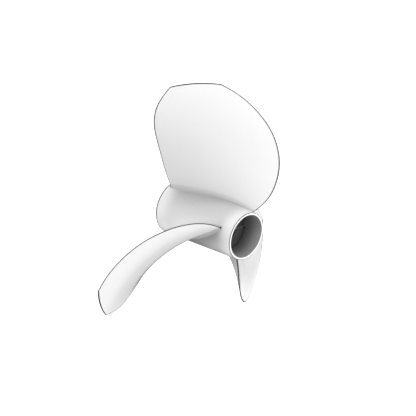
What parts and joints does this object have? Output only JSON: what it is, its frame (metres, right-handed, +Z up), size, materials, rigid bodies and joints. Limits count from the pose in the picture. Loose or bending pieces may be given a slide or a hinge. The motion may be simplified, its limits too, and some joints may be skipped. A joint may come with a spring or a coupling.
{
  "type": "ship propeller",
  "caption": "Left-handed ship propeller with broad twisted blades cut off square at the tips, on a tapered hub with an aft nut recess and a keyed taper bore.",
  "frame": {"origin": "on the shaft axis, at the centre of the hub's forward face", "axes": "+Y forward along the shaft, so the hub reaches aft towards -Y; +Z up through the top blade; +X to starboard, which is the right seen from aft"},
  "size_m": [0.9413, 0.37, 0.8863],
  "materials": {
    "hub_coating": "matte white coating over cast metal",
    "blade_coating": "matte white coating over cast metal, smoothed by hand"
  },
  "bodies": {
    "root": {"hub": "hub_coating", "blade_top": "blade_coating", "blade_port": "blade_coating", "blade_starboard": "blade_coating"}
  },
  "joints": []
}
